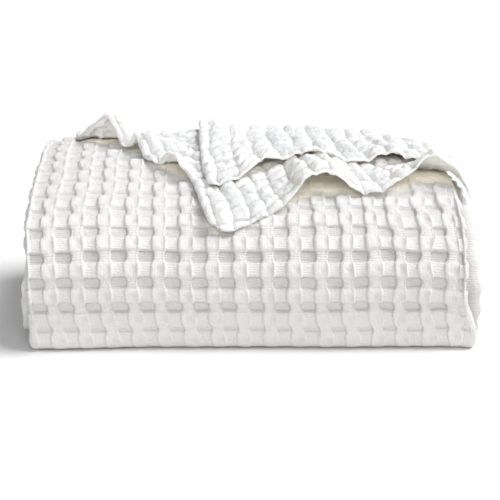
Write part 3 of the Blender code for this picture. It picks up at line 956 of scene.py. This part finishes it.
# %% The lower loose layer
def lower_layer():
    """The cloth from inside the last ply, up the back and over the top to its hems."""
    rise = riser_path()
    corner_reach = LOWER_END_HEM[0][1]
    shares = np.linspace(0, 1, LOWER_COLUMNS)
    forwards = np.linspace(0, 1, round(corner_reach / LOWER_NET))[1:]
    share, forward = np.meshgrid(shares, forwards)
    x, reach, lift, from_side, from_end = loose_point(*LOWER_HEMS, share, forward)
    u = from_side * SIDE_SLANT
    from_hem = np.minimum(from_side, from_end)
    relief, warp, tone = pillowy(u, from_end, from_hem, LOWER_CELL, seed=61)
    ruffle = RUFFLE * lumps(x, from_end, RUFFLE_SIZE, 71) * fade(from_hem, RUFFLE_FADE)
    hem_above = column(UPPER_END_HEM, "x", "reach", x)
    under_upper = past(x, UPPER_SIDE_HEM[0][0], UPPER_ON_IT)
    under_upper = under_upper * before(reach, hem_above - UPPER_END_ON_IT[0], UPPER_END_ON_IT[1])
    hanging = past(x, HANG_START - HANG_NEAR[0], HANG_NEAR[1])
    foot = arch_foot(from_side, reach)
    calm = (1 - PRESSED_CALM * under_upper) * (1 - HANG_CALM * hanging) * (1 - FOOT_CALM * foot)
    # painted cream light where the upper layer's hem shades this layer
    painted_cream_light = past(x, UPPER_SIDE_HEM[-1][0], SHADE_SOFT)
    painted_cream_light = painted_cream_light * before(reach, hem_above + SHADE_PAST_HEM, SHADE_SOFT)
    out = LOWER_RISE + lift + (relief + ruffle) * calm - FOOT_DROP * foot
    x, drop = over_the_end(x)
    y, z = on_outline(REACH_ZERO - reach, out)
    top = x, y, z - drop, u, from_end, warp, tone, painted_cream_light, 0

    way = np.linspace(0, 1, len(rise))[:, None]
    back_left = between(INNER_LEFT, LOWER_SIDE_HEM[0][0], way)
    back_right = between(INNER_RIGHT, LOWER_RIGHT, way)
    back_x = between(back_left, back_right, shares)
    back_v = corner_reach + lengths(rise)[-1] - lengths(rise)[:, None]
    relief, warp, tone = pillowy(back_x, back_v, FAR_FROM_HEM, LOWER_CELL, seed=61)
    inward = outward(rise) * -BACK_RELIEF
    y, z = (rise[:, i, None] + inward[:, i, None] * relief for i in (0, 1))
    x, drop = over_the_end(back_x)
    back = x, y, z - drop * way**DROP_POWER, back_x, back_v, warp, tone, 0, 1 - way
    return loose_sheet("lower_loose_layer", PLY - BACK_THINNER, (back, top))


lower = lower_layer()

# %% [markdown]
# ## The upper loose layer
# The other end of the blanket is the outer ply itself: it goes on under the bundle, up the back and
# over the top, where it lies on the lower layer and ends in a hem of its own.

# %% How high the lower layer is under the upper one
SEARCH_ROUNDS = 4


def lower_lift(x, reach):
    """How far the lower loose layer is lifted at a place under the upper one."""
    corner_x, corner_reach = LOWER_END_HEM[0][:2]
    forward = np.clip(reach / corner_reach, 0, 1)
    for _ in range(SEARCH_ROUNDS):  # its two hems shift each other's points, so this closes in
        left = column(LOWER_SIDE_HEM, "reach", "x", forward * corner_reach)
        share = np.clip((x - left) / (LOWER_RIGHT - left), 0, 1)
        hem_reach = column(LOWER_END_HEM, "x", "reach", between(corner_x, LOWER_RIGHT, share))
        forward = np.clip(reach / hem_reach, 0, 1)
    return loose_point(*LOWER_HEMS, share, forward)[2]


# %% The upper loose layer
UPPER_NET, UPPER_COLUMNS = 1.6, 165  # mm between the rows on the top
BACK_NET, UNDER_NET = 2.8, 7.0
SETTLED, SETTLED_BY = 1.8, 60.0  # how much closer it lies to the lower layer by this reach
LAYER_SLACK = 1.15  # it rides over the lower layer's arches with a little to spare
UPPER_RUFFLE, UPPER_RUFFLE_SIZE = 1.5, 15
UNDER_LAP = 12.0  # how far it laps the front ply under the bundle
WIDE_NET_END = 20.0  # the net may be wide this close to the outline's end under the bundle
FOOT_PRESSED = (60.0, 35.0)  # from this far before there the weave is pressed flat
BACK_SHARE = 0.8  # how much of the relief shows up the back
FLOOR_PAINTED_SHADE = 0.5  # painted shade on the cloth under the bundle


def upper_layer():
    """The cloth from its hems on the top, down the back and on under the bundle."""
    corner_reach = UPPER_END_HEM[0][1]
    shares = np.linspace(0, 1, UPPER_COLUMNS)
    forwards = np.linspace(1, 0, round(corner_reach / UPPER_NET))[:-1]
    share, forward = np.meshgrid(shares, forwards)
    x, reach, lift, from_side, from_end = loose_point(*UPPER_HEMS, share, forward)
    from_hem = np.minimum(from_side, from_end)
    relief, warp, tone = pillowy(from_side, from_end, from_hem, UPPER_CELL, seed=81)
    ruffle = UPPER_RUFFLE * lumps(x, from_end, UPPER_RUFFLE_SIZE, 91) * fade(from_hem, RUFFLE_FADE)
    rise = UPPER_RISE - SETTLED * ease(reach / SETTLED_BY) + lift
    out = rise + np.maximum(0, lower_lift(x, reach)) * LAYER_SLACK + relief + ruffle
    y, z = on_outline(REACH_ZERO - reach, out)
    top = x, y, z, from_side, from_end, warp, tone, 0, 0

    hem_x = UPPER_SIDE_HEM[0][0]
    foot = ALONG[-1] - WIDE_NET_END
    down = [np.arange(REACH_ZERO, foot, BACK_NET), np.arange(foot, ALONG[-1], UNDER_NET)]
    down = np.concatenate(down)[:, None]
    way = (down - REACH_ZERO) / (ALONG[-1] - REACH_ZERO)
    rise = ease((down - REACH_ZERO) / BACK_CORNER, UPPER_RISE, 0)
    left, right = between(hem_x, OUTER_LEFT, way), between(UPPER_RIGHT, OUTER_RIGHT, way)
    back_x = between(left, right, shares)
    u, v = back_x - hem_x, corner_reach + down - REACH_ZERO
    relief, warp, tone = pillowy(u, v, back_x - left, UPPER_CELL, seed=81)
    pressed = past(down, ALONG[-1] - FOOT_PRESSED[0], FOOT_PRESSED[1])
    y, z = on_outline(down, rise + relief * (1 - pressed) * BACK_SHARE)
    back = back_x, y, z, u, v, warp, tone, 0, way

    floor = np.arange(0, UNDER_START + UNDER_LAP, UNDER_NET)[:, None]
    floor_x = between(OUTER_LEFT, OUTER_RIGHT, shares) + floor * 0
    base = floor_x, *on_outline(floor, 0), floor_x, v[-1] + floor, 0, FLOOR_PAINTED_SHADE, 0, 1
    return loose_sheet("upper_loose_layer", PLY, (top, back, base))


upper = upper_layer()

# %% [markdown]
# ## Washed cotton
# The real cloth is undyed, bleached and washed cotton. Its thick soft yarns scatter light, so it
# has no gloss, only a faint sheen from loose fibres. Principled with high roughness and some sheen
# gives that. The yarns are about 1.7 mm apart, which the mesh can't hold, so they are bump: they
# run up the tufts and across the bars and waists, under a fine crumple from the wash. Where the
# cloth lies single, light comes through it: subsurface scattering lets some through, and more is
# painted in, as a lighter copy of the cotton for the single cloth and a cream copy for its
# underside and for what it covers. Shade is painted too: the tone mixes a greyer colour into the
# hollows of the weave.

# %% Colours and nodes


def linear(hex_colour):
    """An sRGB hex colour as linear red, green, blue and alpha."""
    parts = [int(hex_colour[i : i + 2], 16) / 255 for i in (1, 3, 5)]
    return [p / 12.92 if p <= 0.04045 else ((p + 0.055) / 1.055) ** 2.4 for p in parts] + [1.0]


def add_node(tree, kind, settings=None, links=None):
    """Adds a shader node, sets it up and links its inputs to nodes or to their sockets."""
    node = tree.nodes.new("ShaderNode" + kind)
    for key, value in (settings or {}).items():
        if isinstance(key, int) or key in node.inputs:
            node.inputs[key].default_value = value
        else:
            setattr(node, key, value)
    for key, source in (links or {}).items():
        socket = source.outputs[0] if isinstance(source, bpy.types.Node) else source
        tree.links.new(socket, node.inputs[key])
    return node


# %% Woven washed cotton
YARN = 2.1  # mm between yarns, a little coarser than the real ones so that they show
FLOAT_BUMP = 0.35  # the long warp floats on a tuft lie smoother than the weft
COTTON_LIGHT = "#D6D5D4"
# the colour of painted shade, which the tone mixes into the hollows of the cloth
COTTON_PAINTED_SHADE = "#ACACA9"
LOOSE_COLOURS = ("#CBCAC5", "#F5F4F3")  # painted shade in the grooves, and a lighter colour as painted light for thin cloth with light in it
# painted light: the cream of light coming through thin cloth, on its underside and what it covers
COTTON_PAINTED_CREAM = "#FFFAEE"
WARM_LIGHT = (1.0, 0.96, 0.9)  # red light goes further through cotton than blue
LIGHT_REACH = 8.0  # mm
LOOSE_LIGHT = 0.85
SLIP, SLIP_SCALE = 5.0, 0.35  # the yarns slip out of line
CRUMPLE_SCALE, CRUMPLED, LOOSE_CRUMPLED = 0.33, 7.0, 20.0  # the loose cloth is crumpled more
BUMP_STRENGTH, BUMP_DEPTH = 0.7, 0.2 * MM


def woven_washed_cotton(name, colours, light_through=0.0, underside=False, crumpled=CRUMPLED):
    """The cloth's material: painted shade in its hollows, its raised colour, painted cream light.
    """
    material = bpy.data.materials.new(name)
    material.use_nodes = True
    tree = material.node_tree
    tree.nodes.clear()
    stored = [{"attribute_name": key} for key in ("flat_cloth", "tone", "painted_cream_light")]
    flat, depth, painted_cream_light = (add_node(tree, "Attribute", named) for named in stored)
    place = {"Vector": flat.outputs["Vector"]}
    parts = add_node(tree, "SeparateXYZ", links=place)

    def waves(socket, spacing):
        """Soft round ridges across one direction of the cloth, spacing mm apart."""
        rate = {"operation": "MULTIPLY", 1: 2 * math.pi / spacing}
        turn = add_node(tree, "Math", rate, {0: socket})
        slip = add_node(tree, "TexNoise", {"Scale": SLIP_SCALE, "Detail": 1.0}, place)
        slipped = add_node(tree, "Math", {"operation": "MULTIPLY_ADD", 1: SLIP}, {0: slip, 2: turn})
        return add_node(tree, "Math", {"operation": "SINE"}, {0: slipped})

    up, across = (waves(parts.outputs[axis], YARN) for axis in ("X", "Y"))
    calm = add_node(tree, "Math", {"operation": "MULTIPLY", 1: FLOAT_BUMP}, {0: up})
    warp_share = parts.outputs["Z"]
    threads = add_node(tree, "Mix", {"data_type": "FLOAT"}, {0: warp_share, 2: across, 3: calm})
    crumple = add_node(tree, "TexNoise", {"Scale": CRUMPLE_SCALE, "Detail": 4.0}, place)
    crumpling = {"operation": "MULTIPLY_ADD", 1: crumpled}
    surface = add_node(tree, "Math", crumpling, {0: crumple, 2: threads})
    height = {"Height": surface.outputs[0]}
    bump = add_node(tree, "Bump", {"Strength": BUMP_STRENGTH, "Distance": BUMP_DEPTH}, height)
    # painted shade: the tone mixes the shade colour into the raised colour
    shades = {"data_type": "RGBA", 6: linear(colours[0]), 7: linear(colours[1])}
    tone = add_node(tree, "Mix", shades, {0: depth.outputs["Fac"]})
    # painted cream light goes where the cloth is covered
    cream = {"data_type": "RGBA", 7: linear(COTTON_PAINTED_CREAM)}
    tone = add_node(tree, "Mix", cream, {0: painted_cream_light.outputs["Fac"], 6: tone.outputs[2]})
    look = {
        "Roughness": 0.92,
        "IOR": 1.5,
        "Specular IOR Level": 0.2,
        "Sheen Weight": 0.25,
        "Sheen Roughness": 0.5,
        "Subsurface Weight": light_through,
        "Subsurface Radius": WARM_LIGHT,
        "Subsurface Scale": LIGHT_REACH * MM,
    }
    links = {"Normal": bump}
    # an underside is coloured all over with painted cream light
    if underside:
        look["Base Color"] = linear(COTTON_PAINTED_CREAM)
    else:
        links["Base Color"] = tone.outputs[2]
    shader = add_node(tree, "BsdfPrincipled", look, links)
    add_node(tree, "OutputMaterial", links={"Surface": shader})
    return material


# %% Cotton on the sheets
FOLDED_COLOURS = (COTTON_PAINTED_SHADE, COTTON_LIGHT)
cotton = woven_washed_cotton("woven_washed_cotton", FOLDED_COLOURS)
# the loose layers' cotton: lighter colours as painted light, and painted shade in the grooves
single_cotton = woven_washed_cotton(
    "woven_washed_cotton_single", LOOSE_COLOURS, LOOSE_LIGHT, crumpled=LOOSE_CRUMPLED
)
underside_cream_cotton = woven_washed_cotton(
    "woven_washed_cotton_painted_cream_underside", LOOSE_COLOURS, LOOSE_LIGHT, underside=True
)
for piece in made.values():
    if piece in (lower, upper):
        sides = [underside_cream_cotton, single_cotton] if piece is lower else [single_cotton, underside_cream_cotton]
        for side in sides:
            piece.data.materials.append(side)
        piece.modifiers["cloth_thickness"].material_offset = 1
    else:
        piece.data.materials.append(cotton)
print("cotton on:", list(made))

# %% [markdown]
# ## Studio
# The photograph is lit from the right, so the shadow falls to the left and every rib is bright on
# its right edge. The paper round it is evenly white. A lamp close by would fall off across the
# paper, so a sun with a wide disc is used. A second, weaker sun from the front stands for a large
# reflector there, which lights the space under the arches, and a pale sky fills what is left.

# %% Floor, light and sky
SKY = 0.14
SUN_ABOVE, SUN_FROM_FRONT = 56.0, 12.0  # degrees above the floor, and from the right to the front
SUN_WIDTH = 38.0  # degrees; the wider, the softer its shadows
SUN_POWER = 3.15
FILL_POWER, FILL_WIDTH = 1.55, 45.0
FILL_FROM = Vector((0.1, -1.0, 0.56))
FLOOR_SIZE = 24.0
PAPER, PAPER_ROUGH, PAPER_GLOSS = "#F2F2F2", 0.95, 0.1


def studio():
    """The floor, the two suns and the sky."""
    bpy.ops.mesh.primitive_plane_add(size=FLOOR_SIZE)
    floor = bpy.context.object
    floor.name = "studio_floor"
    paper = bpy.data.materials.new("matt_white_paper")
    paper.use_nodes = True
    shader = paper.node_tree.nodes["Principled BSDF"]
    shader.inputs["Base Color"].default_value = linear(PAPER)
    shader.inputs["Roughness"].default_value = PAPER_ROUGH
    shader.inputs["Specular IOR Level"].default_value = PAPER_GLOSS
    floor.data.materials.append(paper)
    above, front = math.radians(SUN_ABOVE), math.radians(-SUN_FROM_FRONT)
    level = math.cos(above)
    sun_from = Vector((math.cos(front) * level, math.sin(front) * level, math.sin(above)))
    for name, source, power, width in (
        ("key_sun", sun_from, SUN_POWER, SUN_WIDTH),
        ("front_fill", FILL_FROM, FILL_POWER, FILL_WIDTH),
    ):
        lamp = bpy.data.objects.new(name, bpy.data.lights.new(name, "SUN"))
        lamp.data.angle = math.radians(width)
        lamp.data.energy = power
        lamp.rotation_euler = (-source).to_track_quat("-Z", "Y").to_euler()
        bpy.context.scene.collection.objects.link(lamp)
    world = bpy.data.worlds.new("pale_sky")
    world.use_nodes = True
    sky = world.node_tree.nodes["Background"]
    sky.inputs["Color"].default_value = (1.0, 1.0, 1.0, 1.0)
    sky.inputs["Strength"].default_value = SKY
    bpy.context.scene.world = world
    bpy.context.scene.view_settings.view_transform = "Standard"


studio()

# %% [markdown]
# ## Attaching the sheets to the body
# Every sheet rides on the one body, and the blanket's solid is hidden, since the sheets stand for
# it.

for name, piece in made.items():
    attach(piece, "root")
    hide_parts("blanket")
